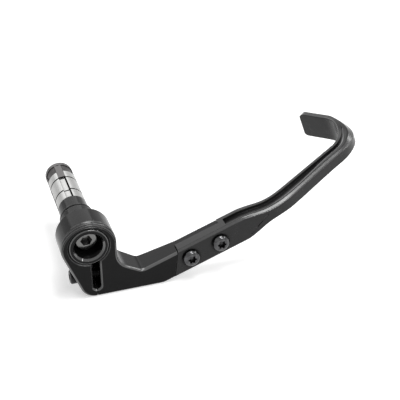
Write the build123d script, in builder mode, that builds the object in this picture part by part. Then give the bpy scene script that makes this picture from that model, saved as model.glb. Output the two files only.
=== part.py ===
from build123d import *
import math
import os

# Brake lever guard for the right-hand end of a motorbike's handlebar, in millimetres.
# X runs outward along the bar, Y forward and Z up. The origin is on the bar's axis, in the
# plane where the plug's shoulder meets the end of the bar.

os.makedirs("parts", exist_ok=True)

# Bar-end plug: spigot in the bar's bore, shoulder against the bar, seat for the clamp
SPIGOT_DIA = 17.5
SPIGOT_LENGTH = 10.5
SHOULDER_DIA = 20.2
SHOULDER_LENGTH = 17.5
SHOULDER_EDGE = 0.7
SHOULDER_GROOVE_INSET = 2.2
SHOULDER_GROOVE_WIDTH = 0.9
SHOULDER_GROOVE_DEPTH = 0.6
LIP_WIDTH = 2.4
LIP_ROUND = 1.3
COUNTERBORE_EDGE = 1.1
NOSE_LENGTH = 6.5
NOSE_ROOT_DIA = 14.2
CONE_ANGLE = 10.0

# Draw bolt, its washer and the keyed cone nut
BOLT_DIA = 8.0
BOLT_HEAD_DIA = 13.0
BOLT_HEAD_HEIGHT = 8.0
BOLT_HEX = 6.0
BOLT_HEX_DEPTH = 4.0
BOLT_HEAD_DEPTH = 7.6
BOLT_END_INSET = 0.8
BOLT_CLEARANCE = 0.25
HEAD_EDGE = 0.6
WASHER_DIA = 15.6
WASHER_THICKNESS = 1.6
WASHER_CLEARANCE = 0.4
THREAD_CLEARANCE = 0.05
NUT_RIM_DIA = 17.2
NUT_RIM_LENGTH = 3.0
NUT_CONE_DIA = 16.4
NUT_CONE_LENGTH = 18.0
NUT_CONE_SHOWN = 8.5
KEY_LENGTH = 15.0
KEY_DIA = 16.8
KEY_CLEARANCE = 0.12

# Expander: jaws held together by two rubber rings
JAW_COUNT = 4
JAW_DIA = 17.5
JAW_LENGTH = 32.0
JAW_GAP = 4.3
JAW_TURN = 7.5
JAW_SEAT_CLEARANCE = 0.08
JAW_BORE_DIA = 10.6
LEDGE_DROP = 1.1
LEDGE_SLIT = 0.9
LEDGE_KEY_GAP = 0.3
RING_CORD = 1.2
RING_CLEARANCE = 0.05
RING_SINK = 1.0
RING_INSET_INNER = 9.0
RING_INSET_OUTER = 7.7

# Clamp bracket: ring, split foot and tongue, in the plane across the bar
CLAMP_LENGTH = 16.5
CLAMP_CLEARANCE = 0.05
RING_DIA = 32.0
FOOT_DROP = 34.6
FOOT_SIDE_ANGLE = 21.0
FOOT_CORNER = 9.0
FOOT_BEND = 12.0
NECK_CORNER_DROP = 14.6
NECK_FALL = 28.5
NECK_ROUND = 10.5
NECK_BEND = 4.5
TONGUE_RISE = 20.0
TONGUE_TOP_DROP = 31.4
TONGUE_HEIGHT = 16.0
TONGUE_MARGIN = 3.8
GUARD_THICKNESS = 11.4
TAPER_START = 20.0
TAPER_END = 54.0
EDGE_ROUND = 1.7
SHOULDER_ROUND = 3.5
SHOULDER_SHIFT = 2.0
SHOULDER_MARGIN = 0.05
RIDGE_COUNT = 4
RIDGE_FIRST_ANGLE = 14.0
RIDGE_STEP_ANGLE = 20.0
RIDGE_GROOVE_RADIUS = 0.5
RIDGE_GROOVE_OFFSET = 0.22
SLOT_WIDTH = 4.8
SLOT_Y = 3.2
SLOT_END_DROP = 30.0
SLOT_DEPTH = 13.0
SLOT_EDGE = 0.9
SLIT_WIDTH = 0.5
BORE_EDGE = 0.7

# Pinch screw through the split foot
PINCH_DIA = 5.0
PINCH_LENGTH = 20.0
PINCH_HEAD_DIA = 8.5
PINCH_HEAD_HEIGHT = 5.0
PINCH_HEX = 4.0
PINCH_HEX_DEPTH = 2.5
PINCH_DROP = 23.3
PINCH_SEAT_Y = -6.2
PINCH_SEAT_CLEARANCE = 0.5
PINCH_TAP_MARGIN = 1.5

# Button-head screws that hold the blade on the tongue
SCREW_DIA = 6.0
SCREW_HEAD_DIA = 10.5
SCREW_HEAD_HEIGHT = 3.3
SCREW_RECESS = 0.2
SCREW_RECESS_CLEARANCE = 0.5
SCREW_CROWN = 2.4
SCREW_STAR_COUNT = 6
SCREW_STAR_DIA = 5.4
SCREW_STAR_LOBE = 1.4
SCREW_STAR_DEPTH = 2.0
SCREW_INSET = 6.0
SCREW_SPACING = 19.5
SCREW_LINE_DROP = 39.0

# Moulded blade: lap on the tongue, waist, hook and paddle
LAP_THICKNESS = 7.0
SEAM_TOP = 43.6
SEAM_BOTTOM = 35.9
SEAM_GAP = 0.35
TONGUE_END_GAP = 0.12
BLADE_MID_DROP = 38.8
BLOCK_LENGTH = 11.5
BLOCK_HEIGHT = 17.0
BLOCK_LIFT = -0.35
BEND_INSET = 16.6
BLADE_BEND_RADIUS = 48.0
BLADE_BEND_ANGLE = 19.6
BLADE_RUN = 44.5
HOOK_RADIUS = 17.6
HOOK_ANGLE = 101.4
HOOK_FLARE = (0.05, 0.8)
HOOK_THINNING = (0.36, 0.84)
HOOK_BEVEL_SWELL = 1.3
HOOK_DROP_SWELL = 2.5
PADDLE_LENGTH = 21.5
PADDLE_HEIGHT = 18.0
PADDLE_LIFT = -0.35
PADDLE_THICKNESS = 4.3
PADDLE_CORNER = 5.2
PADDLE_CORNER_MARGIN = 0.05
PADDLE_END_ROUND = 1.7
WAIST_HEIGHT = 9.3
WAIST_LIFT = 0.5
WAIST_BEVEL = 2.0
WAIST_DROP = 1.3
WAIST_LENGTH = 22.0
HOOK_THICKNESS = 9.6
BLOCK_BEVEL = 1.2
PADDLE_BEVEL = 1.1
BEVEL_ROUND = 1.2
BLADE_EDGE = 0.7
GROOVE_INSET = 3.5
GROOVE_WIDTH = 5.1
GROOVE_WIDTH_END = 2.4
GROOVE_NARROWING = (34.0, 74.0)
GROOVE_DEPTH = 2.1
GROOVE_MOUTH_WIDTH = 1.2
GROOVE_MOUTH_DROP = 0.4
GROOVE_RIB_START = 3.0
GROOVE_RIB = 2.3
GROOVE_RIB_END = 2.8
GROOVE_HOOK_SHARE = 0.55
GROOVE_END_SHARE = 0.1
CREASE_INSET = 4.0
CREASE_START_ABOVE = -5.2
CREASE_OVERRUN = 1.2
CREASE_END_ABOVE = 2.4
CREASE_WIDTH = 0.6
CREASE_DEPTH = 0.5

# Places worked out from the sizes above
counterbore_radius = WASHER_DIA / 2 + WASHER_CLEARANCE
seat_radius = counterbore_radius + COUNTERBORE_EDGE + LIP_WIDTH
clamp_back = SHOULDER_LENGTH
clamp_front = clamp_back + CLAMP_LENGTH
head_face = clamp_front - BOLT_HEAD_DEPTH
head_seat = head_face - BOLT_HEAD_HEIGHT
washer_seat = head_seat - WASHER_THICKNESS
cone_slope = math.tan(math.radians(CONE_ANGLE))
shoulder_groove_radius = SHOULDER_DIA / 2 - SHOULDER_GROOVE_DEPTH
shoulder_groove_end = SHOULDER_GROOVE_INSET + SHOULDER_GROOVE_WIDTH
jaw_near = -SPIGOT_LENGTH
jaw_far = jaw_near - JAW_LENGTH
ring_places = (jaw_near - RING_INSET_INNER, jaw_far + RING_INSET_OUTER)
nut_cone_mouth = jaw_far - NUT_CONE_SHOWN
nut_end = nut_cone_mouth - NUT_RIM_LENGTH
key_end = nut_cone_mouth + KEY_LENGTH
bolt_end = nut_end + BOLT_END_INSET
bolt_bore_radius = BOLT_DIA / 2 + BOLT_CLEARANCE
nose_tip = jaw_near - NOSE_LENGTH
clamp_bore_radius = seat_radius + CLAMP_CLEARANCE
ring_radius = RING_DIA / 2
side_angle = math.radians(FOOT_SIDE_ANGLE)
rise = math.radians(TONGUE_RISE)
tongue_top = -TONGUE_TOP_DROP
tongue_bottom = tongue_top - TONGUE_HEIGHT
tongue_front = clamp_front - LAP_THICKNESS
guard_back = clamp_front - GUARD_THICKNESS
pinch_x = (clamp_back + clamp_front) / 2
screw_seat = clamp_front - SCREW_RECESS
first_screw = SEAM_TOP + SCREW_INSET
last_screw = first_screw + SCREW_SPACING
tongue_end = last_screw + TONGUE_MARGIN
block_end = tongue_end + BLOCK_LENGTH
bend_start = block_end + BEND_INSET
beyond = 2 * RING_DIA


def across(along, above):
    """Place in the plane across the bar, given along the tongue and square to it."""
    y = along * math.cos(rise) - above * math.sin(rise)
    z = along * math.sin(rise) + above * math.cos(rise)
    return (y, z)


def turned(points):
    """Solid of revolution about the bar's axis, from a closed outline of (x, radius)."""
    with BuildSketch(Plane.XZ) as section:
        with BuildLine():
            Polyline(*points, close=True)
        make_face()
    revolve(section.sketch, axis=Axis.X)


def hexagon_socket(plane, across_flats, depth):
    with BuildSketch(plane) as socket:
        RegularPolygon(radius=across_flats / 2, side_count=6, major_radius=False)
    extrude(socket.sketch, amount=-depth, mode=Mode.SUBTRACT)


def finish(builder, name):
    builder.part.label = name
    export_step(builder.part, f"parts/{name}.step")


# Sleeve: front lip, clamp seat, shoulder, spigot and nose cone, with a counterbore for the bolt
with BuildPart() as bar_end_sleeve:
    with BuildSketch(Plane.XZ) as sleeve_section:
        with BuildLine():
            Polyline(
                (nose_tip, bolt_bore_radius),
                (nose_tip, NOSE_ROOT_DIA / 2 - NOSE_LENGTH * cone_slope),
                (jaw_near, NOSE_ROOT_DIA / 2),
                (jaw_near, SPIGOT_DIA / 2),
                (0, SPIGOT_DIA / 2),
                (0, SHOULDER_DIA / 2 - SHOULDER_EDGE),
                (SHOULDER_EDGE, SHOULDER_DIA / 2),
                (SHOULDER_GROOVE_INSET, SHOULDER_DIA / 2),
                (SHOULDER_GROOVE_INSET, shoulder_groove_radius),
                (shoulder_groove_end, shoulder_groove_radius),
                (shoulder_groove_end, SHOULDER_DIA / 2),
                (clamp_back, SHOULDER_DIA / 2),
                (clamp_back, seat_radius),
                (clamp_front, seat_radius),
                (clamp_front, counterbore_radius + COUNTERBORE_EDGE),
                (clamp_front - COUNTERBORE_EDGE, counterbore_radius),
                (washer_seat, counterbore_radius),
                (washer_seat, bolt_bore_radius),
                close=True,
            )
        make_face()
        lip = sleeve_section.vertices().sort_by_distance((clamp_front, seat_radius))[0]
        fillet(lip, LIP_ROUND)
    revolve(axis=Axis.X)
finish(bar_end_sleeve, "bar_end_sleeve")

with BuildPart() as bolt_washer:
    turned(
        [
            (washer_seat, bolt_bore_radius),
            (washer_seat, WASHER_DIA / 2),
            (head_seat, WASHER_DIA / 2),
            (head_seat, bolt_bore_radius),
        ]
    )
finish(bolt_washer, "bolt_washer")

# Draw bolt: socket cap head in the sleeve, shank through the jaws into the cone nut
with BuildPart() as draw_bolt:
    turned(
        [
            (bolt_end, 0),
            (bolt_end, BOLT_DIA / 2),
            (head_seat, BOLT_DIA / 2),
            (head_seat, BOLT_HEAD_DIA / 2),
            (head_face, BOLT_HEAD_DIA / 2),
            (head_face, 0),
        ]
    )
    head_rim = draw_bolt.edges().filter_by(GeomType.CIRCLE).group_by(Axis.X)[-1]
    chamfer(head_rim, HEAD_EDGE)
    hexagon_socket(Plane.YZ.offset(head_face), BOLT_HEX, BOLT_HEX_DEPTH)
finish(draw_bolt, "draw_bolt")

# Cone nut: rim, cone drawn in between the jaws, and a key in each gap
with BuildPart() as cone_nut:
    turned(
        [
            (nut_end, 0),
            (nut_end, NUT_RIM_DIA / 2),
            (nut_cone_mouth, NUT_RIM_DIA / 2),
            (nut_cone_mouth, NUT_CONE_DIA / 2),
            (nut_cone_mouth + NUT_CONE_LENGTH, NUT_CONE_DIA / 2 - NUT_CONE_LENGTH * cone_slope),
            (nut_cone_mouth + NUT_CONE_LENGTH, 0),
        ]
    )
    with BuildSketch(Plane.YZ.offset(nut_cone_mouth)):
        with PolarLocations(0, JAW_COUNT, start_angle=90 + JAW_TURN):
            Rectangle(KEY_DIA / 2, JAW_GAP - 2 * KEY_CLEARANCE, align=(Align.MIN, Align.CENTER))
    extrude(amount=KEY_LENGTH)
    with BuildSketch(Plane.YZ.offset(nut_end)):
        Circle(BOLT_DIA / 2 + THREAD_CLEARANCE)
    extrude(amount=NUT_RIM_LENGTH + NUT_CONE_LENGTH, mode=Mode.SUBTRACT)
finish(cone_nut, "cone_nut")


def jaw_tube():
    """All jaws as one tube, with a taper at each end and two grooves for the rubber rings."""
    bore = JAW_BORE_DIA / 2
    near_mouth = NOSE_ROOT_DIA / 2 + JAW_SEAT_CLEARANCE
    far_mouth = NUT_CONE_DIA / 2 - NUT_CONE_SHOWN * cone_slope + JAW_SEAT_CLEARANCE
    turned(
        [
            (jaw_near, near_mouth),
            (jaw_near, JAW_DIA / 2),
            (jaw_far, JAW_DIA / 2),
            (jaw_far, far_mouth),
            (jaw_far + (far_mouth - bore) / cone_slope, bore),
            (jaw_near - (near_mouth - bore) / cone_slope, bore),
        ]
    )
    for ring_place in ring_places:
        with BuildSketch(Plane.YZ.offset(ring_place - RING_CORD / 2)) as groove:
            Circle(JAW_DIA)
            Circle(JAW_DIA / 2 - RING_SINK - RING_CORD, mode=Mode.SUBTRACT)
        extrude(groove.sketch, amount=RING_CORD, mode=Mode.SUBTRACT)


def gap_strip(angle, near_side, far_side, reach):
    """Corners of a strip along a gap, between two distances to the side of its middle line."""
    outward = Vector(math.cos(angle), math.sin(angle))
    sideways = Vector(-math.sin(angle), math.cos(angle))
    corners = []
    for distance, side in ((0, near_side), (reach, near_side), (reach, far_side), (0, far_side)):
        corner = outward * distance + sideways * side
        corners.append((corner.X, corner.Y))
    return corners


def jaw_sector(index):
    """Wedge between two gaps, with a ledge that lies below most of the first gap."""
    half_angle = math.pi / JAW_COUNT
    middle = math.radians(90 + JAW_TURN) + half_angle * (2 * index + 1)
    gap_angle = middle - half_angle
    apex = Vector(math.cos(middle), math.sin(middle)) * (JAW_GAP / 2 / math.sin(half_angle))
    corners = [(apex.X, apex.Y)]
    for angle in (gap_angle, middle, middle + half_angle):
        corner = apex + Vector(math.cos(angle), math.sin(angle)) * JAW_DIA
        corners.append((corner.X, corner.Y))
    ledge = gap_strip(gap_angle, LEDGE_SLIT - JAW_GAP / 2, JAW_GAP, JAW_DIA / 2 - LEDGE_DROP)
    key_room = gap_strip(gap_angle, -JAW_GAP / 2, JAW_GAP / 2, JAW_DIA)
    with BuildSketch(Plane.YZ.offset(jaw_far)) as wedge:
        for outline in (corners, ledge):
            with BuildLine():
                Polyline(*outline, close=True)
            make_face()
    extrude(wedge.sketch, amount=JAW_LENGTH, mode=Mode.INTERSECT)
    with BuildSketch(Plane.YZ.offset(jaw_far)) as room:
        with BuildLine():
            Polyline(*key_room, close=True)
        make_face()
    extrude(room.sketch, amount=key_end - jaw_far + LEDGE_KEY_GAP, mode=Mode.SUBTRACT)


for number in range(JAW_COUNT):
    with BuildPart() as expander_jaw:
        jaw_tube()
        jaw_sector(number)
    finish(expander_jaw, f"expander_jaw_{number + 1}")

for ring_name, ring_place in zip(("jaw_ring_inner", "jaw_ring_outer"), ring_places):
    with BuildPart() as jaw_ring:
        with BuildSketch(Plane.XZ):
            with Locations((ring_place, JAW_DIA / 2 - RING_SINK - RING_CORD / 2)):
                Circle(RING_CORD / 2 - RING_CLEARANCE)
        revolve(axis=Axis.X)
    finish(jaw_ring, ring_name)

# Clamp bracket outline: the side of the foot, its flat, the tongue and the hollow of the neck
side_top = (-ring_radius * math.cos(side_angle), -ring_radius * math.sin(side_angle))
side_foot = (side_top[0] + (FOOT_DROP + side_top[1]) * math.tan(side_angle), -FOOT_DROP)
foot_bend = ((-FOOT_DROP * math.cos(rise) - tongue_bottom) / math.sin(rise), -FOOT_DROP)
neck_corner = (ring_radius, -NECK_CORNER_DROP)
neck_fall = math.tan(math.radians(NECK_FALL))
tongue_line_z = tongue_top / math.cos(rise)
neck_bend_y = (neck_corner[1] - tongue_line_z + neck_fall * ring_radius) / (math.tan(rise) + neck_fall)
neck_bend = (neck_bend_y, tongue_line_z + neck_bend_y * math.tan(rise))
rounded_corners = [
    (side_foot, FOOT_CORNER),
    (foot_bend, FOOT_BEND),
    (neck_bend, NECK_BEND),
    (neck_corner, NECK_ROUND),
]


def bracket_body():
    with BuildSketch(Plane.YZ.offset(clamp_back)) as outline:
        with BuildLine():
            Polyline(
                (ring_radius, 0),
                side_top,
                side_foot,
                foot_bend,
                across(tongue_end, tongue_bottom),
                across(tongue_end, tongue_top),
                neck_bend,
                neck_corner,
                close=True,
            )
        make_face()
        for corner, radius in rounded_corners:
            fillet(outline.vertices().sort_by_distance(corner)[0], radius)
        Circle(ring_radius)
    extrude(outline.sketch, amount=CLAMP_LENGTH)
    with BuildSketch(Plane.XY.offset(-beyond)) as behind:
        with BuildLine():
            Polyline(
                (clamp_back, TAPER_START),
                (guard_back, TAPER_END),
                (guard_back, tongue_end + beyond),
                (clamp_back - beyond, tongue_end + beyond),
                (clamp_back - beyond, TAPER_START),
                close=True,
            )
        make_face()
    extrude(behind.sketch, amount=2 * beyond, mode=Mode.SUBTRACT)


def ring_shoulder():
    """Ridged rounding of the ring's front edge, deepest at the top and fading out at the neck."""
    start = math.atan2(SHOULDER_SHIFT, ring_radius)
    end = math.atan2(side_top[1] + SHOULDER_SHIFT, side_top[0]) + 2 * math.pi
    flat_radius = ring_radius - SHOULDER_ROUND + SHOULDER_SHIFT + SHOULDER_MARGIN
    centre = (0, 0, -SHOULDER_SHIFT)
    section = Plane(origin=centre, x_dir=(1, 0, 0), z_dir=(0, -math.sin(start), math.cos(start)))
    with BuildSketch(section) as corner:
        with Locations((clamp_front - SHOULDER_ROUND, flat_radius)):
            Rectangle(2 * SHOULDER_ROUND, 2 * SHOULDER_ROUND, align=(Align.MIN, Align.MIN))
            Circle(SHOULDER_ROUND, mode=Mode.SUBTRACT)
        for ridge in range(RIDGE_COUNT):
            angle = math.radians(RIDGE_FIRST_ANGLE + RIDGE_STEP_ANGLE * ridge)
            reach = SHOULDER_ROUND + RIDGE_GROOVE_OFFSET
            groove_x = clamp_front - SHOULDER_ROUND + reach * math.cos(angle)
            with Locations((groove_x, flat_radius + reach * math.sin(angle))):
                Circle(RIDGE_GROOVE_RADIUS)
    turn = math.degrees(end - start)
    revolve(corner.sketch, axis=Axis(centre, (1, 0, 0)), revolution_arc=turn, mode=Mode.SUBTRACT)


def clamp_slot(margin):
    """Round-ended slot below the bore, wider by a margin all round."""
    half_width = SLOT_WIDTH / 2 + margin
    end_drop = SLOT_END_DROP - SLOT_WIDTH / 2
    with BuildSketch(Plane.YZ.offset(clamp_front)) as slot:
        with Locations((SLOT_Y, -clamp_bore_radius / 2)):
            Rectangle(2 * half_width, end_drop - clamp_bore_radius / 2, align=(Align.CENTER, Align.MAX))
        with Locations((SLOT_Y, -end_drop)):
            Circle(half_width)
    return slot.sketch


def pinch_hole(radius, depth):
    """Round cut about the pinch screw, inward from the seat of its head, or outward if negative."""
    with BuildSketch(pinch_seat) as hole:
        Circle(radius)
    extrude(hole.sketch, amount=-depth, mode=Mode.SUBTRACT)


def screw_holes(radius, depth, sunk=0):
    """Round cuts for both blade screws, from the front inward."""
    with BuildSketch(Plane.YZ.offset(clamp_front - sunk)) as holes:
        with Locations(*screw_places):
            Circle(radius)
    extrude(holes.sketch, amount=-depth, mode=Mode.SUBTRACT)


def seam_side(gap, far):
    """Outline from the slanted seam, set forward by a gap, to a far place along the tongue."""
    slant = SEAM_TOP - SEAM_BOTTOM
    top = tongue_top + TONGUE_HEIGHT
    bottom = tongue_bottom - TONGUE_HEIGHT
    with BuildSketch(Plane.YZ.offset(clamp_front)) as side:
        with BuildLine():
            Polyline(
                across(SEAM_TOP + slant + gap, top),
                across(far, top),
                across(far, bottom),
                across(SEAM_BOTTOM - slant + gap, bottom),
                close=True,
            )
        make_face()
    return side.sketch


pinch_seat = Plane(origin=(pinch_x, PINCH_SEAT_Y, -PINCH_DROP), x_dir=(1, 0, 0), z_dir=(0, -1, 0))
screw_places = [
    across(first_screw, -SCREW_LINE_DROP),
    across(last_screw, -SCREW_LINE_DROP),
]

with BuildPart() as clamp_bracket:
    bracket_body()
    front_face = clamp_bracket.faces().filter_by(Axis.X).sort_by(Axis.X)[-1]
    fillet(front_face.outer_wire().edges(), EDGE_ROUND)
    ring_shoulder()
    with BuildSketch(Plane.YZ.offset(clamp_front)):
        Circle(clamp_bore_radius)
    extrude(amount=-CLAMP_LENGTH, mode=Mode.SUBTRACT)
    with BuildSketch(Plane.YZ.offset(clamp_front)):
        Circle(clamp_bore_radius + BORE_EDGE)
    extrude(amount=-BORE_EDGE, taper=45, mode=Mode.SUBTRACT)
    extrude(clamp_slot(0), amount=-SLOT_DEPTH, mode=Mode.SUBTRACT)
    extrude(clamp_slot(SLOT_EDGE), amount=-SLOT_EDGE, taper=45, mode=Mode.SUBTRACT)
    with BuildSketch(Plane.YZ.offset(clamp_front)):
        with Locations((SLOT_Y, -clamp_bore_radius / 2)):
            Rectangle(SLIT_WIDTH, FOOT_DROP, align=(Align.CENTER, Align.MAX))
    extrude(amount=-CLAMP_LENGTH, mode=Mode.SUBTRACT)
    pinch_hole(PINCH_HEAD_DIA / 2 + PINCH_SEAT_CLEARANCE, -RING_DIA)
    pinch_hole(PINCH_DIA / 2 + BOLT_CLEARANCE, SLOT_Y - PINCH_SEAT_Y)
    pinch_hole(PINCH_DIA / 2 + THREAD_CLEARANCE, PINCH_LENGTH + PINCH_TAP_MARGIN)
    extrude(seam_side(0, tongue_end + beyond), amount=-LAP_THICKNESS, mode=Mode.SUBTRACT)
    screw_holes(SCREW_DIA / 2 + THREAD_CLEARANCE, GUARD_THICKNESS)
finish(clamp_bracket, "clamp_bracket")

# Pinch screw: socket cap head on the foot's side, shank across the slot
with BuildPart() as clamp_screw:
    with BuildSketch(pinch_seat):
        Circle(PINCH_HEAD_DIA / 2)
    extrude(amount=PINCH_HEAD_HEIGHT)
    chamfer(clamp_screw.edges().filter_by(GeomType.CIRCLE).sort_by(Axis.Y)[0], HEAD_EDGE)
    with BuildSketch(pinch_seat):
        Circle(PINCH_DIA / 2)
    extrude(amount=-PINCH_LENGTH)
    hexagon_socket(pinch_seat.offset(PINCH_HEAD_HEIGHT), PINCH_HEX, PINCH_HEX_DEPTH)
finish(clamp_screw, "clamp_screw")


def star_socket(plane):
    """Six-lobed recess in a screw's head."""
    lobe_circle = (SCREW_STAR_DIA - SCREW_STAR_LOBE) / 2
    with BuildSketch(plane) as star:
        Circle(lobe_circle)
        with PolarLocations(lobe_circle, SCREW_STAR_COUNT):
            Circle(SCREW_STAR_LOBE / 2)
    extrude(star.sketch, amount=-SCREW_STAR_DEPTH, mode=Mode.SUBTRACT)


for screw_name, place in zip(("guard_screw_rear", "guard_screw_front"), screw_places):
    with BuildPart() as guard_screw:
        seat_plane = Plane(origin=(screw_seat, *place), x_dir=(0, 1, 0), z_dir=(1, 0, 0))
        with BuildSketch(seat_plane):
            Circle(SCREW_HEAD_DIA / 2)
        extrude(amount=SCREW_HEAD_HEIGHT)
        crown = guard_screw.edges().filter_by(GeomType.CIRCLE).sort_by(Axis.X)[-1]
        fillet(crown, SCREW_CROWN)
        with BuildSketch(seat_plane):
            Circle(SCREW_DIA / 2)
        extrude(amount=guard_back - screw_seat)
        star_socket(seat_plane.offset(SCREW_HEAD_HEIGHT))
    finish(guard_screw, screw_name)

# Blade: sections square to the line of its inner face, in the plane of the tongue
along_tongue = Vector(0, *across(1, 0))
above_tongue = Vector(0, *across(0, 1))
blade_plan = Plane(
    origin=(guard_back, *across(0, -BLADE_MID_DROP)),
    x_dir=along_tongue,
    z_dir=above_tongue,
)
bend_length = math.radians(BLADE_BEND_ANGLE) * BLADE_BEND_RADIUS
hook_start = bend_start - block_end + bend_length + BLADE_RUN
hook_length = math.radians(HOOK_ANGLE) * HOOK_RADIUS
paddle_start = hook_start + hook_length
groove_end = hook_start + hook_length * GROOVE_HOOK_SHARE

with BuildLine(blade_plan) as inner_face:
    lap_line = Line((block_end, 0), (bend_start, 0))
    bend = JernArc(lap_line @ 1, lap_line % 1, BLADE_BEND_RADIUS, BLADE_BEND_ANGLE)
    run = Line(bend @ 1, (bend @ 1) + (bend % 1) * BLADE_RUN)
    hook = JernArc(run @ 1, run % 1, HOOK_RADIUS, HOOK_ANGLE)
    paddle = Line(hook @ 1, (hook @ 1) + (hook % 1) * PADDLE_LENGTH)
blade_path = inner_face.wire()


def blend(start, end, share):
    """Smooth change from one size to another, as the share goes from 0 to 1."""
    share = min(max(share, 0), 1)
    return start + (end - start) * share * share * (3 - 2 * share)


def blade_size(length, at_block, at_waist, at_paddle, change):
    """One size of the section at a length, with the two shares of the hook it changes between."""
    if length <= hook_start:
        return blend(at_block, at_waist, length / WAIST_LENGTH)
    share = (length - hook_start) / hook_length
    return blend(at_waist, at_paddle, (share - change[0]) / (change[1] - change[0]))


def blade_height(length):
    return blade_size(length, BLOCK_HEIGHT, WAIST_HEIGHT, PADDLE_HEIGHT, HOOK_FLARE)


def blade_middle(length):
    return blade_size(length, BLOCK_LIFT, WAIST_LIFT, PADDLE_LIFT, HOOK_FLARE)


def blade_thickness(length):
    run_share = (length - WAIST_LENGTH) / (hook_start - WAIST_LENGTH)
    before_hook = blend(GUARD_THICKNESS, HOOK_THICKNESS, run_share)
    return blade_size(length, before_hook, before_hook, PADDLE_THICKNESS, HOOK_THINNING)


def section_plane(length):
    """Plane square to the blade at a length along the inner face, its X axis inward."""
    share = length / blade_path.length
    forward = blade_path.tangent_at(share)
    return Plane(blade_path.position_at(share), x_dir=above_tongue.cross(forward), z_dir=forward)


def blade_section(length):
    """Six-sided section with a bevel above and below the outer face, largest in the hook."""
    thickness = blade_thickness(length)
    hook_share = min(max((length - hook_start) / hook_length, 0), 1)
    swell = math.sin(math.pi * hook_share) ** 2
    bevel = blade_size(length, BLOCK_BEVEL, WAIST_BEVEL, PADDLE_BEVEL, HOOK_THINNING)
    bevel += HOOK_BEVEL_SWELL * swell
    drop = blade_size(length, BLOCK_BEVEL, WAIST_DROP, PADDLE_BEVEL, HOOK_THINNING)
    drop += HOOK_DROP_SWELL * swell
    top = blade_middle(length) + blade_height(length) / 2
    bottom = blade_middle(length) - blade_height(length) / 2
    with BuildSketch(section_plane(length)) as section:
        with BuildLine():
            Polyline(
                (-thickness, bottom + drop),
                (-thickness, top - drop),
                (bevel - thickness, top),
                (0, top),
                (0, bottom),
                (bevel - thickness, bottom),
                close=True,
            )
        make_face()
        fillet(section.vertices().sort_by(Axis.X)[:-2], BEVEL_ROUND)
        fillet(section.vertices().sort_by(Axis.X)[-2:], BLADE_EDGE)
    return section.sketch


def groove_section(length):
    """Section of the groove in the blade's top, with an eased front edge, closing up in the hook."""
    fade = blend(1, GROOVE_END_SHARE, (length - hook_start) / (groove_end - hook_start))
    narrowing = (length - GROOVE_NARROWING[0]) / (GROOVE_NARROWING[1] - GROOVE_NARROWING[0])
    width = blend(GROOVE_WIDTH, GROOVE_WIDTH_END, narrowing) * fade
    mouth = GROOVE_MOUTH_WIDTH * fade
    ease = GROOVE_MOUTH_DROP * fade
    hook_part = (0, GROOVE_HOOK_SHARE)
    rib = blade_size(length, GROOVE_RIB_START, GROOVE_RIB, GROOVE_RIB_END, hook_part)
    top = blade_middle(length) + blade_height(length) / 2
    with BuildSketch(section_plane(length)) as section:
        with BuildLine():
            Polyline(
                (-rib, top + ease),
                (-rib, top - GROOVE_DEPTH * fade),
                (-rib - width, top - GROOVE_DEPTH * fade),
                (-rib - width, top - ease),
                (-rib - width - 2 * mouth, top + ease),
                close=True,
            )
        make_face()
    return section.sketch


def stations(start, end, steps):
    """Lengths from just after a start up to an end."""
    return [start + (end - start) * step / steps for step in range(1, steps + 1)]


waist_stations = [0] + stations(0, WAIST_LENGTH, 5) + stations(WAIST_LENGTH, hook_start, 8)
hook_stations = stations(hook_start, paddle_start, 12)
groove_stations = waist_stations + stations(hook_start, groove_end, 4)
crease_start = across(block_end + CREASE_INSET, CREASE_START_ABOVE - BLADE_MID_DROP)
crease_end = across(bend_start + CREASE_OVERRUN, CREASE_END_ABOVE - BLADE_MID_DROP)

paddle_top = PADDLE_LIFT + PADDLE_HEIGHT / 2
paddle_bottom = PADDLE_LIFT - PADDLE_HEIGHT / 2
paddle_tip = section_plane(paddle_start + PADDLE_LENGTH)
paddle_face = Plane(
    paddle_tip.origin,
    x_dir=paddle_tip.z_dir,
    z_dir=paddle_tip.z_dir.cross(above_tongue),
)
paddle_plan = Plane(paddle_tip.origin, x_dir=paddle_tip.z_dir, z_dir=above_tongue)


def rounded_end(plane, low, high, radius):
    """Outline of what a rounding takes off the two corners of an end, just clear of its sides."""
    top = high + PADDLE_CORNER_MARGIN - radius
    bottom = low - PADDLE_CORNER_MARGIN + radius
    with BuildSketch(plane) as corners:
        for middle, side in ((top, Align.MIN), (bottom, Align.MAX)):
            with Locations((-radius, middle)):
                Rectangle(2 * radius, 2 * radius, align=(Align.MIN, side))
                Circle(radius, mode=Mode.SUBTRACT)
    return corners.sketch


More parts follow.
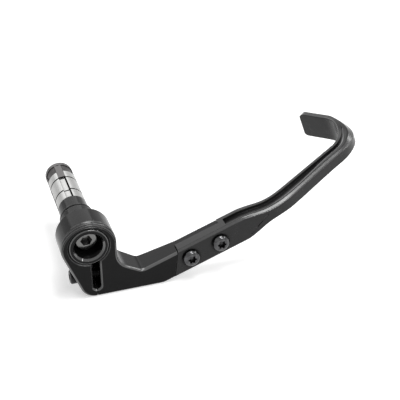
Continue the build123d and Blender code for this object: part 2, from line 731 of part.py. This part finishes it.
with BuildPart() as guard_blade:
    loft([blade_section(length) for length in waist_stations + hook_stations])
    extrude(blade_section(paddle_start), amount=PADDLE_LENGTH)
    extrude(blade_section(0), amount=SEAM_BOTTOM - block_end)
    extrude(seam_side(SEAM_GAP, SEAM_BOTTOM - beyond), amount=-beyond, mode=Mode.SUBTRACT)
    with BuildSketch(blade_plan):
        with Locations((tongue_end + TONGUE_END_GAP, guard_back - tongue_front)):
            Rectangle(beyond, GUARD_THICKNESS, align=(Align.MAX, Align.MIN))
    extrude(amount=BLOCK_HEIGHT, both=True, mode=Mode.SUBTRACT)
    screw_holes(SCREW_HEAD_DIA / 2 + SCREW_RECESS_CLEARANCE, SCREW_RECESS)
    screw_holes(SCREW_DIA / 2 + BOLT_CLEARANCE, LAP_THICKNESS)
    loft([groove_section(length) for length in groove_stations], mode=Mode.SUBTRACT)
    extrude(groove_section(0), amount=GROOVE_INSET - BLOCK_LENGTH, mode=Mode.SUBTRACT)
    with BuildSketch(Plane.YZ.offset(clamp_front)):
        with BuildLine():
            Line(crease_start, crease_end)
        trace(line_width=CREASE_WIDTH)
    extrude(amount=-CREASE_DEPTH, mode=Mode.SUBTRACT)
    tall_corners = rounded_end(paddle_face, paddle_bottom, paddle_top, PADDLE_CORNER)
    extrude(tall_corners, amount=GUARD_THICKNESS, both=True, mode=Mode.SUBTRACT)
    thin_corners = rounded_end(paddle_plan, -PADDLE_THICKNESS, 0, PADDLE_END_ROUND)
    extrude(thin_corners, amount=PADDLE_HEIGHT, both=True, mode=Mode.SUBTRACT)
finish(guard_blade, "guard_blade")
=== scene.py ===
# %% [markdown]
# # Brake lever guard: looks
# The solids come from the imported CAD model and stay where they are. This lesson gives each of them
# the finish of the real piece, adds the thread of the pinch screw, and lights the whole in a plain
# white studio. Everything is in metres, in the frame of the CAD model: X runs outward along the
# handlebar, Y forward and Z up.

# %% Load the frame
import math

import bmesh
import bpy
from mathutils import Matrix, Vector


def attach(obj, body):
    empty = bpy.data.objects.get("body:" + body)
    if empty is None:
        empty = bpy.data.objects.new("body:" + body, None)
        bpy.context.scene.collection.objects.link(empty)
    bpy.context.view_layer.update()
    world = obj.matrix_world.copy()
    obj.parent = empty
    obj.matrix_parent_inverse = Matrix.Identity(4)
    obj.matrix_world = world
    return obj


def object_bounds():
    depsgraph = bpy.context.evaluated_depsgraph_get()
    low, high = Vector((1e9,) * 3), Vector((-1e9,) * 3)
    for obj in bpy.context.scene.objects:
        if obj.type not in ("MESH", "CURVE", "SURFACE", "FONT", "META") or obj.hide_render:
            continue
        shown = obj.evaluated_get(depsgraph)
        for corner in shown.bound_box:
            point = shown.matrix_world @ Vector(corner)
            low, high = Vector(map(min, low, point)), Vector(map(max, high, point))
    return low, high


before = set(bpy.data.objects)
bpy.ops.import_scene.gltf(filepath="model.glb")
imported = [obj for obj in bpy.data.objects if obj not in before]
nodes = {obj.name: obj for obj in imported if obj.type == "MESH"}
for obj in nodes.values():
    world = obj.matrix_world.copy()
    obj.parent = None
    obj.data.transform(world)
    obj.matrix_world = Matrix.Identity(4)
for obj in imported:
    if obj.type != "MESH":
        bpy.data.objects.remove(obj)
cad_low, cad_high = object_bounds()
scene = bpy.context.scene
MM = 0.001
print("CAD pieces:", len(nodes))

# %% [markdown]
# ## Camera
# The guard was photographed from its outer end, a little from behind and well from above. A long
# lens keeps the perspective gentle. The camera could be placed by hand in the viewport. Here it is
# aimed by a point on the guard, a direction and a distance, so the framing can be changed with a few
# numbers and comes out the same each time.

# %% Camera
VIEW_AZIMUTH = math.radians(71.32)
VIEW_ELEVATION = math.radians(31.05)
VIEW_TARGET = Vector((0.034, 0.0655, 0.0186))
VIEW_DISTANCE = 0.5125
LENS_MM = 81.0
SENSOR_MM = 36.0
CLIP_NEAR = 0.01
CLIP_FAR = 20


def view_direction(azimuth, elevation):
    flat = math.cos(elevation)
    return Vector((math.sin(azimuth) * flat, -math.cos(azimuth) * flat, math.sin(elevation)))


def studio_camera():
    camera = bpy.data.objects.new("studio_camera", bpy.data.cameras.new("studio_camera"))
    scene.collection.objects.link(camera)
    back = view_direction(VIEW_AZIMUTH, VIEW_ELEVATION)
    camera.location = VIEW_TARGET + back * VIEW_DISTANCE
    camera.rotation_mode = "QUATERNION"
    camera.rotation_quaternion = (-back).to_track_quat("-Z", "Y")
    camera.data.lens = LENS_MM
    camera.data.sensor_width = SENSOR_MM
    camera.data.clip_start = CLIP_NEAR
    camera.data.clip_end = CLIP_FAR
    scene.camera = camera
    return camera


camera = studio_camera()
print("camera at", [round(value, 4) for value in camera.location])

# %% [markdown]
# ## Node helpers
# The floor and every finish below are graphs of nodes. Each node could be written out, but that takes
# several lines a node and hides what the graph does. A few helpers make a node, set or link its inputs,
# and give back the socket that comes out, so a graph reads like a formula.


# %% Node helpers
def new_material(name):
    material = bpy.data.materials.new(name)
    material.use_nodes = True
    material.node_tree.nodes.clear()
    return material, material.node_tree


def feed(tree, value, socket):
    """Links a socket to the value where that is a socket too, and sets it otherwise."""
    if isinstance(value, bpy.types.NodeSocket):
        tree.links.new(value, socket)
    else:
        socket.default_value = value


def math_node(tree, operation, *values):
    node = tree.nodes.new("ShaderNodeMath")
    node.operation = operation
    for socket, value in zip(node.inputs, values):
        feed(tree, value, socket)
    return node.outputs[0]


def spread(tree, share, low, high, start=0.0, end=1.0):
    """Share from start to end, turned into a value between a low and a high one."""
    node = tree.nodes.new("ShaderNodeMapRange")
    feed(tree, share, node.inputs["Value"])
    feed(tree, start, node.inputs["From Min"])
    feed(tree, end, node.inputs["From Max"])
    feed(tree, low, node.inputs["To Min"])
    feed(tree, high, node.inputs["To Max"])
    return node.outputs["Result"]


def object_place(tree):
    return tree.nodes.new("ShaderNodeTexCoord").outputs["Object"]


print("helpers for materials, values and places")

# %% [markdown]
# ## Floor and world
# A product like this is shot on a white sweep. The floor is pale and keeps the soft shadow of the
# guard. Lamps could light it until it is plain white, but they would wash out the black finishes. So
# the lamps stay at a level at which a colour renders about as it is written, and floor and world are
# lifted to white only for the camera and for what mirrors in the metal. The lift of the floor grows
# away from the guard, where the lamps reach less.

# %% Floor and world
FLOOR_GAP = 0.1 * MM
FLOOR_HALF = 6.0
FLOOR_COLOUR = (0.86, 0.86, 0.86, 1)
NEAR_LIFT = 0.54
FAR_LIFT = 1.0
LIFT_FADE_START = 0.3
LIFT_FADE_END = 0.9
WORLD_COLOUR = (1, 1, 1, 1)
WORLD_STRENGTH = 0.1
WHITE_STRENGTH = 1.0


def seen_directly(tree):
    """Socket that is 1 for rays from the camera and for mirrored or refracted ones."""
    path = tree.nodes.new("ShaderNodeLightPath").outputs
    either = math_node(tree, "MAXIMUM", path["Is Camera Ray"], path["Is Glossy Ray"])
    return math_node(tree, "MAXIMUM", either, path["Is Transmission Ray"])


def lift_by_distance(tree):
    away = tree.nodes.new("ShaderNodeVectorMath")
    away.operation = "LENGTH"
    tree.links.new(object_place(tree), away.inputs[0])
    return spread(tree, away.outputs["Value"], NEAR_LIFT, FAR_LIFT, LIFT_FADE_START, LIFT_FADE_END)


def floor_material():
    material, tree = new_material("floor_pale")
    paper = tree.nodes.new("ShaderNodeBsdfDiffuse")
    paper.inputs["Color"].default_value = FLOOR_COLOUR
    lift = tree.nodes.new("ShaderNodeEmission")
    strength = math_node(tree, "MULTIPLY", seen_directly(tree), lift_by_distance(tree))
    tree.links.new(strength, lift.inputs["Strength"])
    both = tree.nodes.new("ShaderNodeAddShader")
    tree.links.new(paper.outputs[0], both.inputs[0])
    tree.links.new(lift.outputs[0], both.inputs[1])
    output = tree.nodes.new("ShaderNodeOutputMaterial")
    tree.links.new(both.outputs[0], output.inputs["Surface"])
    return material


def studio_floor():
    level = cad_low.z - FLOOR_GAP
    corners = [(-1, -1), (1, -1), (1, 1), (-1, 1)]
    mesh = bpy.data.meshes.new("studio_floor")
    mesh.from_pydata([(x * FLOOR_HALF, y * FLOOR_HALF, level) for x, y in corners], [], [(0, 1, 2, 3)])
    floor = bpy.data.objects.new("studio_floor", mesh)
    scene.collection.objects.link(floor)
    mesh.materials.append(floor_material())
    return level


def studio_world():
    world = bpy.data.worlds.new("studio_world")
    world.use_nodes = True
    scene.world = world
    tree = world.node_tree
    tree.nodes.clear()
    background = tree.nodes.new("ShaderNodeBackground")
    background.inputs["Color"].default_value = WORLD_COLOUR
    strength = spread(tree, seen_directly(tree), WORLD_STRENGTH, WHITE_STRENGTH)
    tree.links.new(strength, background.inputs["Strength"])
    output = tree.nodes.new("ShaderNodeOutputWorld")
    tree.links.new(background.outputs[0], output.inputs["Surface"])


floor_level = studio_floor()
studio_world()
scene.view_settings.view_transform = "Standard"
print("floor level", round(floor_level, 4))

# %% [markdown]
# ## Lamps
# A glossy black piece shows mostly what it mirrors, and a single lamp would leave most of the guard
# without a highlight. So four boxes light it. An oblong one hangs overhead and draws the light line
# along the rib of the blade. Two narrow strips, one on the outer side and one ahead of the guard, give
# the lips, the ridges of the ring and the edge of the neck their light lines. A wide one stands on
# the handlebar's side, so that every upward face shows a soft sheen while the faces towards the camera
# stay dark.

# %% Lamps
LAMP_DISTANCE = 0.9
LAMPS = {
    "top_box": {
        "direction": (0.08, 0.12, 1.0),
        "along": (0, 1, 0),
        "size": (0.28, 0.6),
        "power": 4.6,
    },
    "front_strip": {
        "direction": (0.71, 0.29, 0.64),
        "along": (-0.38, 0.92, 0),
        "size": (0.4, 0.1),
        "power": 1.9,
    },
    "neck_strip": {
        "direction": (0.14, 0.79, 0.6),
        "along": (1, 0, 0),
        "size": (0.65, 0.08),
        "power": 1.6,
    },
    "back_box": {
        "direction": (-0.81, -0.1, 0.58),
        "along": (0, 1, 0),
        "size": (0.8, 0.7),
        "power": 2.3,
    },
}


def light_box(name, direction, along, size, power):
    lamp = bpy.data.lights.new(name, "AREA")
    lamp.shape = "RECTANGLE"
    lamp.size, lamp.size_y = size
    lamp.energy = power
    box = bpy.data.objects.new(name, lamp)
    scene.collection.objects.link(box)
    away = Vector(direction).normalized()
    across = away.cross(Vector(along)).normalized()
    box.location = VIEW_TARGET + away * LAMP_DISTANCE
    box.rotation_mode = "QUATERNION"
    box.rotation_quaternion = Matrix((across.cross(away), across, away)).transposed().to_quaternion()


for lamp_name, lamp_values in LAMPS.items():
    light_box(lamp_name, **lamp_values)
print("lamps:", list(LAMPS))

# %% [markdown]
# ## Shared effects
# Five effects come back in several finishes, so each is a node group with its own inputs. They could
# be copied into each material, but then a change would have to be made in every copy. They read the
# place on the object or the turn of its surface, so nothing needs to be unwrapped.


# %% Group helpers
def new_group(name, inputs, outputs):
    group = bpy.data.node_groups.new(name, "ShaderNodeTree")
    for socket, value in inputs.items():
        made = group.interface.new_socket(name=socket, in_out="INPUT", socket_type="NodeSocketFloat")
        made.default_value = value
    for socket in outputs:
        group.interface.new_socket(name=socket, in_out="OUTPUT", socket_type="NodeSocketFloat")
    enter = group.nodes.new("NodeGroupInput")
    leave = group.nodes.new("NodeGroupOutput")
    return group, enter.outputs, leave.inputs


def noise(tree, place, scale, detail):
    """Noise texture at a place, with its scale in cycles per metre."""
    texture = tree.nodes.new("ShaderNodeTexNoise")
    feed(tree, place, texture.inputs["Vector"])
    feed(tree, scale, texture.inputs["Scale"])
    feed(tree, detail, texture.inputs["Detail"])
    return texture.outputs["Fac"]


def average(tree, first, second):
    return math_node(tree, "MULTIPLY", math_node(tree, "ADD", first, second), 0.5)


print("helpers for groups")

# %% [markdown]
# ### Fine grain
# Moulded and anodised surfaces have a fine, even grain and a shade that varies a little from place to
# place. An image of it would need an unwrapped mesh. Two noises, a fine and a coarse one, need none.

# %% Fine grain
GRAIN_DETAIL = 2.0
BLOTCH_DETAIL = 3.0


def fine_grain_group():
    """Height and shade of a fine, even grain."""
    inputs = {"Scale": 2500.0, "Blotch Scale": 120.0}
    group, enter, leave = new_group("fine_grain", inputs, ["Height", "Shade"])
    place = object_place(group)
    grain = noise(group, place, enter["Scale"], GRAIN_DETAIL)
    blotch = noise(group, place, enter["Blotch Scale"], BLOTCH_DETAIL)
    group.links.new(grain, leave["Height"])
    group.links.new(average(group, grain, blotch), leave["Shade"])
    return group


fine_grain = fine_grain_group()
print("group:", fine_grain.name)

# %% [markdown]
# ### Turned lines
# A lathe leaves fine lines around the axis of what it turns. The Wave texture has rings too, but only
# of one kind at a time. Here the lines follow the distance from the X axis less the place along it,
# which makes circles on the flat faces and on the round ones alike. A noise makes them uneven.

# %% Turned lines
UNEVEN_SCALE = 6000.0
UNEVEN_DETAIL = 2.0
FULL_TURN = 2 * math.pi


def turned_lines_group():
    """Height of the lines that a lathe leaves about the X axis, on faces and on rims alike."""
    inputs = {"Pitch": 0.0004, "Roughening": 0.35}
    group, enter, leave = new_group("turned_lines", inputs, ["Height"])
    split = group.nodes.new("ShaderNodeSeparateXYZ")
    group.links.new(object_place(group), split.inputs[0])
    x, y, z = split.outputs
    y_square = math_node(group, "POWER", y, 2.0)
    z_square = math_node(group, "POWER", z, 2.0)
    radius = math_node(group, "SQRT", math_node(group, "ADD", y_square, z_square))
    along = math_node(group, "SUBTRACT", radius, x)
    turns = math_node(group, "MULTIPLY", along, FULL_TURN)
    wave = math_node(group, "SINE", math_node(group, "DIVIDE", turns, enter["Pitch"]))
    line = math_node(group, "ADD", math_node(group, "MULTIPLY", wave, 0.5), 0.5)
    stretch = group.nodes.new("ShaderNodeCombineXYZ")
    group.links.new(along, stretch.inputs["X"])
    uneven = noise(group, stretch.outputs[0], UNEVEN_SCALE, UNEVEN_DETAIL)
    rough = math_node(group, "MULTIPLY", uneven, enter["Roughening"])
    group.links.new(math_node(group, "ADD", line, rough), leave["Height"])
    return group


turned_lines = turned_lines_group()
print("group:", turned_lines.name)

# %% [markdown]
# ### Soft edges
# On a piece that has been handled, the film is rubbed lighter along the edges. They could be painted
# by hand, but that would have to be done again with each change of the CAD model. The Bevel node gives
# the normal that a rounded edge would have, and where it departs from the real one, there is an edge.

# %% Soft edges
BEVEL_SAMPLES = 6
EDGE_GAIN = 3.0


def bevel_node(tree):
    node = tree.nodes.new("ShaderNodeBevel")
    node.samples = BEVEL_SAMPLES
    return node


def soft_edge_group():
    """Mask of the sharp edges, from the difference between a rounded and a flat normal."""
    group, enter, leave = new_group("soft_edge", {"Radius": 0.0004}, ["Edge"])
    rounded = bevel_node(group)
    group.links.new(enter["Radius"], rounded.inputs["Radius"])
    surface = group.nodes.new("ShaderNodeNewGeometry")
    match = group.nodes.new("ShaderNodeVectorMath")
    match.operation = "DOT_PRODUCT"
    group.links.new(rounded.outputs[0], match.inputs[0])
    group.links.new(surface.outputs["Normal"], match.inputs[1])
    bend = math_node(group, "SUBTRACT", 1.0, match.outputs["Value"])
    edge = math_node(group, "MINIMUM", math_node(group, "MULTIPLY", bend, EDGE_GAIN), 1.0)
    group.links.new(edge, leave["Edge"])
    return group


soft_edge = soft_edge_group()
print("group:", soft_edge.name)

# %% [markdown]
# ### Recesses
# Sockets, slots and grooves look darker, because little light gets in. The lamps alone darken them
# only in part, so shade is painted into the colour there. The Ambient Occlusion node measures how open
# a place is, and the finishes paint shade into the colour of what is hidden, and dull it.

# %% Recesses
OCCLUSION_SAMPLES = 8


def recess_shade_group():
    """Openness of a place: 1 on a free face, towards 0 deep in a socket, a slot or a groove."""
    group, enter, leave = new_group("recess_shade", {"Reach": 0.003, "Depth": 1.0}, ["Openness"])
    hollow = group.nodes.new("ShaderNodeAmbientOcclusion")
    hollow.samples = OCCLUSION_SAMPLES
    group.links.new(enter["Reach"], hollow.inputs["Distance"])
    openness = math_node(group, "POWER", hollow.outputs["AO"], enter["Depth"])
    group.links.new(openness, leave["Openness"])
    return group


recess_shade = recess_shade_group()
print("group:", recess_shade.name)

# %% [markdown]
# ### Rounded shoulders
# Rounded edges that stand proud are smoother than the faces beside them, and shine more. The soft edge
# mask misses them, because their rounding is in the CAD model already. The turn of the surface finds
# them: a flat front looks straight along an axis, a rim looks across it, and the shoulder lies between.

# %% Rounded shoulders
RIM_SLOPE = 8.0
FRONT_SLOPE = 30.0


def ramp(tree, difference, slope):
    """Difference times a slope, kept between 0 and 1."""
    steep = math_node(tree, "MULTIPLY", difference, slope)
    return math_node(tree, "MAXIMUM", math_node(tree, "MINIMUM", steep, 1.0), 0.0)


def shoulder_share_group():
    """Share of a rounded shoulder: 1 between the flat front and the rim, 0 on both of them."""
    inputs = {"Along X": 1.0, "Along Z": 0.0, "Rim": 0.1, "Front": 0.98}
    group, enter, leave = new_group("shoulder_share", inputs, ["Share"])
    place = group.nodes.new("ShaderNodeTexCoord")
    split = group.nodes.new("ShaderNodeSeparateXYZ")
    group.links.new(place.outputs["Normal"], split.inputs[0])
    along_x = math_node(group, "MULTIPLY", split.outputs["X"], enter["Along X"])
    along_z = math_node(group, "MULTIPLY", split.outputs["Z"], enter["Along Z"])
    facing = math_node(group, "ADD", along_x, along_z)
    off_rim = ramp(group, math_node(group, "SUBTRACT", facing, enter["Rim"]), RIM_SLOPE)
    off_front = ramp(group, math_node(group, "SUBTRACT", enter["Front"], facing), FRONT_SLOPE)
    group.links.new(math_node(group, "MULTIPLY", off_rim, off_front), leave["Share"])
    return group


shoulder_share = shoulder_share_group()
print("group:", shoulder_share.name)

# %% [markdown]
# ## Finishes
# Each finish is one Principled shader with its constants set on its own sockets. What changes over
# the surface, such as grain, turned lines and rubbed edges, comes from the groups. The helpers place a
# group, mix colours, build the normal, and put the finish on the CAD pieces.

# %% Finish helpers
# Near-black that is mixed into the colour as painted shade in recesses.
PAINTED_SHADE_COLOUR = (0.001, 0.001, 0.001, 1)


def finish_shader(tree, **constants):
    shader = tree.nodes.new("ShaderNodeBsdfPrincipled")
    output = tree.nodes.new("ShaderNodeOutputMaterial")
    tree.links.new(shader.outputs[0], output.inputs["Surface"])
    for name, value in constants.items():
        shader.inputs[name.replace("_", " ")].default_value = value
    return shader.inputs


def use_group(tree, group, **values):
    node = tree.nodes.new("ShaderNodeGroup")
    node.node_tree = group
    for name, value in values.items():
        node.inputs[name.replace("_", " ")].default_value = value
    return node.outputs


def mix_colour(tree, share, low, high):
    """Mix of two colours, each plain or from a socket."""
    mix = tree.nodes.new("ShaderNodeMix")
    mix.data_type = "RGBA"
    feed(tree, share, mix.inputs["Factor"])
    feed(tree, low, mix.inputs["A"])
    feed(tree, high, mix.inputs["B"])
    return mix.outputs["Result"]


def paint_recess_shade(tree, colour, openness):
    """Colour with painted shade: darker where a place is less open."""
    return mix_colour(tree, openness, PAINTED_SHADE_COLOUR, colour)


def rounded_normal(tree, radius):
    node = bevel_node(tree)
    node.inputs["Radius"].default_value = radius
    return node.outputs["Normal"]


def bump(tree, height, depth, under=None):
    node = tree.nodes.new("ShaderNodeBump")
    node.inputs["Distance"].default_value = depth
    node.inputs["Strength"].default_value = 1.0
    tree.links.new(height, node.inputs["Height"])
    if under:
        tree.links.new(under, node.inputs["Normal"])
    return node.outputs["Normal"]


def wear_finish(pieces, material):
    for piece in pieces:
        nodes[piece].data.materials.clear()
        nodes[piece].data.materials.append(material)
    print(material.name, "on", ", ".join(pieces))


print("helpers for finishes")

# %% [markdown]
# ### Black anodised bracket
# The bracket is milled from aluminium and anodised black. The film has a satin sheen, a fine grain and
# faint tool lines, and it is rubbed lighter along the edges. A plain black would look like plastic, so
# colour and gloss both vary. A clear coat on the rounded shoulders gives the ridges of the ring and the
# edge of the neck their soft light lines. Deep in the slot the surface is dull, and shade is painted
# into its colour.

# %% Black anodised bracket
BRACKET_FILM_DARK = (0.005, 0.005, 0.0052, 1)
BRACKET_FILM_LIGHT = (0.014, 0.014, 0.0143, 1)
BRACKET_RUBBED = (0.045, 0.045, 0.046, 1)
BUFF_FALLOFF = 3.0
DEEP_GAIN = 3.0


def anodised_bracket():
    material, tree = new_material("anodised_bracket")
    shader = finish_shader(tree, Specular_IOR_Level=0.11, Coat_Roughness=0.3, Coat_IOR=1.85)
    grain = use_group(tree, fine_grain, Scale=3800.0, Blotch_Scale=90.0)
    lines = use_group(tree, turned_lines, Pitch=0.32 * MM, Roughening=0.8)
    edge = use_group(tree, soft_edge, Radius=0.8 * MM)
    openness = use_group(tree, recess_shade, Reach=3.0 * MM, Depth=1.5)["Openness"]
    shoulder = use_group(tree, shoulder_share)

    film = mix_colour(tree, grain["Shade"], BRACKET_FILM_DARK, BRACKET_FILM_LIGHT)
    rubbed = math_node(tree, "MULTIPLY", edge["Edge"], openness)
    worn = mix_colour(tree, rubbed, film, BRACKET_RUBBED)
    # Shade is painted into the colour where a place is less open: the slot, the sockets and the creases.
    tree.links.new(paint_recess_shade(tree, worn, openness), shader["Base Color"])

    reached = math_node(tree, "POWER", openness, BUFF_FALLOFF)
    buffed = math_node(tree, "MULTIPLY", shoulder["Share"], reached)
    tree.links.new(buffed, shader["Coat Weight"])

    satin = spread(tree, grain["Shade"], low=0.1, high=0.2)
    free = math_node(tree, "MINIMUM", math_node(tree, "MULTIPLY", openness, DEEP_GAIN), 1.0)
    dull = spread(tree, free, low=0.6, high=0.0)
    tree.links.new(math_node(tree, "ADD", satin, dull), shader["Roughness"])

    soft = rounded_normal(tree, radius=0.12 * MM)
    grained = bump(tree, grain["Height"], depth=0.002 * MM, under=soft)
    lined = bump(tree, lines["Height"], depth=0.0015 * MM, under=grained)
    tree.links.new(lined, shader["Normal"])
    return material


wear_finish(["clamp_bracket"], anodised_bracket())

# %% [markdown]
# ### Glossy black sleeve
# The sleeve is turned on a lathe and anodised a glossier black. Its lathe lines vary the colour and the
# gloss a little. A clear coat could cover all of it, but then the flat end would mirror the white floor
# and look grey. With the coat on the shoulders alone, the rounded lip shows light arcs beside a dark face.

# %% Glossy black sleeve
SLEEVE_DARK = (0.004, 0.004, 0.0042, 1)
SLEEVE_LIGHT = (0.012, 0.012, 0.0122, 1)


def turned_sleeve():
    material, tree = new_material("turned_sleeve")
    shader = finish_shader(tree, Specular_IOR_Level=0.12, Coat_Roughness=0.05, Coat_IOR=1.8)
    lines = use_group(tree, turned_lines, Pitch=0.35 * MM, Roughening=0.6)
    shoulder = use_group(tree, shoulder_share)
    colour = mix_colour(tree, lines["Height"], SLEEVE_DARK, SLEEVE_LIGHT)
    tree.links.new(colour, shader["Base Color"])
    tree.links.new(shoulder["Share"], shader["Coat Weight"])
    tree.links.new(spread(tree, lines["Height"], low=0.06, high=0.14), shader["Roughness"])
    soft = rounded_normal(tree, radius=0.6 * MM)
    tree.links.new(bump(tree, lines["Height"], depth=0.001 * MM, under=soft), shader["Normal"])
    return material


wear_finish(["bar_end_sleeve"], turned_sleeve())

# %% [markdown]
# ### Moulded nylon blade
# The blade is moulded from glass-filled nylon: a dark grey with a fine grain that spreads the light. Its
# groove is dark with real shade and with shade painted into its colour, and the rounded rib beside the
# groove is smoother and catches a light line. The line could be painted, but it would stay where it is
# when the light moves. So the rib gets a clear coat instead, found by its slant: neither the level top
# nor the upright sides have it.

# %% Moulded nylon blade
NYLON_DARK = (0.012, 0.012, 0.0122, 1)
NYLON_LIGHT = (0.028, 0.028, 0.0283, 1)


def moulded_nylon():
    material, tree = new_material("moulded_nylon")
    shader = finish_shader(tree, Specular_IOR_Level=0.24, Coat_Roughness=0.24, Coat_IOR=1.55)
    grain = use_group(tree, fine_grain, Scale=2600.0, Blotch_Scale=160.0)
    rib = use_group(tree, shoulder_share, Along_X=0.0, Along_Z=1.0, Rim=0.3, Front=0.9)
    openness = use_group(tree, recess_shade, Reach=2.5 * MM, Depth=1.5)["Openness"]
    colour = mix_colour(tree, grain["Shade"], NYLON_DARK, NYLON_LIGHT)
    # Shade is painted into the colour of the groove and the other hollows.
    tree.links.new(paint_recess_shade(tree, colour, openness), shader["Base Color"])
    tree.links.new(math_node(tree, "MULTIPLY", rib["Share"], openness), shader["Coat Weight"])
    tree.links.new(spread(tree, grain["Shade"], low=0.2, high=0.32), shader["Roughness"])
    soft = rounded_normal(tree, radius=0.3 * MM)
    tree.links.new(bump(tree, grain["Height"], depth=0.005 * MM, under=soft), shader["Normal"])
    return material


wear_finish(["guard_blade"], moulded_nylon())

# %% [markdown]
# ### Metals
# The jaws are bare turned aluminium. The draw bolt and its washer are zinc plated, the screws of the
# blade have a dark bright plating, the pinch screw is blackened steel, and the cone nut is a dull grey.
# Each could have a material of its own making. They differ only in colour, gloss and the depth and
# pitch of their lines, so one function makes them all.

# %% Metals
METAL_ROUNDING = 0.2 * MM
METALS = {
    "jaw_aluminium": {
        "dark": (0.26, 0.26, 0.257, 1),
        "light": (0.46, 0.46, 0.453, 1),
        "roughness": (0.26, 0.4),
        "pitch": 0.5 * MM,
        "depth": 0.004 * MM,
    },
    "bright_zinc": {
        "dark": (0.08, 0.08, 0.079, 1),
        "light": (0.18, 0.18, 0.177, 1),
        "roughness": (0.08, 0.16),
        "pitch": 0.6 * MM,
        "depth": 0.002 * MM,
    },
    "dark_plating": {
        "dark": (0.04, 0.04, 0.0415, 1),
        "light": (0.1, 0.1, 0.1025, 1),
        "roughness": (0.1, 0.18),
        "pitch": 3.0 * MM,
        "depth": 0.002 * MM,
    },
    "black_steel": {
        "dark": (0.014, 0.014, 0.0145, 1),
        "light": (0.04, 0.04, 0.041, 1),
        "roughness": (0.25, 0.4),
        "pitch": 0.8 * MM,
        "depth": 0.006 * MM,
    },
    "nut_grey": {
        "dark": (0.05, 0.047, 0.047, 1),
        "light": (0.11, 0.106, 0.106, 1),
        "roughness": (0.3, 0.42),
        "pitch": 0.7 * MM,
        "depth": 0.006 * MM,
    },
}


def turned_metal(name, dark, light, roughness, pitch, depth):
    material, tree = new_material(name)
    shader = finish_shader(tree, Metallic=1.0)
    lines = use_group(tree, turned_lines, Pitch=pitch, Roughening=0.7)
    grain = use_group(tree, fine_grain, Scale=3000.0, Blotch_Scale=220.0)
    hollow = use_group(tree, recess_shade, Reach=3.0 * MM, Depth=1.6)
    shade = average(tree, lines["Height"], grain["Shade"])
    colour = mix_colour(tree, shade, dark, light)
    # Shade is painted into the colour in sockets and recesses, such as the hex of the bolt.
    tree.links.new(paint_recess_shade(tree, colour, hollow["Openness"]), shader["Base Color"])
    tree.links.new(spread(tree, shade, *roughness), shader["Roughness"])
    soft = rounded_normal(tree, METAL_ROUNDING)
    tree.links.new(bump(tree, shade, depth, under=soft), shader["Normal"])
    return material


metals = {name: turned_metal(name, **values) for name, values in METALS.items()}
jaws = [name for name in nodes if name.startswith("expander_jaw")]
wear_finish(jaws, metals["jaw_aluminium"])
wear_finish(["draw_bolt", "bolt_washer"], metals["bright_zinc"])
wear_finish(["guard_screw_rear", "guard_screw_front"], metals["dark_plating"])
wear_finish(["clamp_screw"], metals["black_steel"])
wear_finish(["cone_nut"], metals["nut_grey"])

# %% [markdown]
# ### Rubber rings
# Two rubber rings hold the four jaws together. Rubber is nearly black and dull. A smooth black would
# look like plastic, so the fine grain varies its colour and gloss and roughens it a little.

# %% Rubber rings
RUBBER_DARK = (0.008, 0.008, 0.008, 1)
RUBBER_LIGHT = (0.02, 0.02, 0.02, 1)


def ring_rubber():
    material, tree = new_material("ring_rubber")
    shader = finish_shader(tree, Specular_IOR_Level=0.3)
    grain = use_group(tree, fine_grain, Scale=4000.0, Blotch_Scale=300.0)
    colour = mix_colour(tree, grain["Shade"], RUBBER_DARK, RUBBER_LIGHT)
    tree.links.new(colour, shader["Base Color"])
    tree.links.new(spread(tree, grain["Shade"], low=0.55, high=0.75), shader["Roughness"])
    tree.links.new(bump(tree, grain["Height"], depth=0.006 * MM), shader["Normal"])
    return material


wear_finish(["jaw_ring_inner", "jaw_ring_outer"], ring_rubber())

# %% [markdown]
# ## Thread of the pinch screw
# The slot of the foot lets one look at the shank of the pinch screw. The CAD shank is plain, so its
# thread is added here: a three-cornered section runs up a helix around the shank, a hair clear of it.
# A helix of real geometry catches the light on its crests, which a bump on the shank would not do.

# %% Pinch screw thread
THREAD_AXIS_X = 25.75 * MM
THREAD_AXIS_Z = -23.3 * MM
THREAD_START = 1.0 * MM
THREAD_PITCH = 0.8 * MM
THREAD_TURNS = 4.5
THREAD_STEPS = 40
THREAD_ROOT = 2.52 * MM
THREAD_CREST = 2.72 * MM
# Radius of each corner, and its place along the screw as a share of the pitch.
THREAD_SECTION = [(THREAD_ROOT, 0.0), (THREAD_CREST, 0.45), (THREAD_ROOT, 0.9)]
CORNERS = len(THREAD_SECTION)


def thread_corners(sections):
    corners = []
    for step in range(sections):
        turn = step / THREAD_STEPS
        angle = FULL_TURN * turn
        for radius, share in THREAD_SECTION:
            x = THREAD_AXIS_X + radius * math.cos(angle)
            y = THREAD_START + THREAD_PITCH * (turn + share)
            z = THREAD_AXIS_Z + radius * math.sin(angle)
            corners.append((x, y, z))
    return corners


def thread_faces(sections):
    last = CORNERS * (sections - 1)
    faces = [tuple(range(CORNERS)), tuple(range(last, last + CORNERS))]
    for start in range(0, last, CORNERS):
        for side in range(CORNERS):
            near = start + side
            far = start + (side + 1) % CORNERS
            faces.append((near, far, far + CORNERS, near + CORNERS))
    return faces


def face_outward(mesh):
    shape = bmesh.new()
    shape.from_mesh(mesh)
    bmesh.ops.recalc_face_normals(shape, faces=shape.faces)
    shape.to_mesh(mesh)
    shape.free()


def clamp_screw_thread():
    sections = int(THREAD_TURNS * THREAD_STEPS) + 1
    mesh = bpy.data.meshes.new("clamp_screw_thread")
    mesh.from_pydata(thread_corners(sections), [], thread_faces(sections))
    face_outward(mesh)
    thread = bpy.data.objects.new("clamp_screw_thread", mesh)
    scene.collection.objects.link(thread)
    mesh.materials.append(metals["black_steel"])
    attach(thread, "guard")
    return thread


thread = clamp_screw_thread()
print("thread faces:", len(thread.data.polygons))
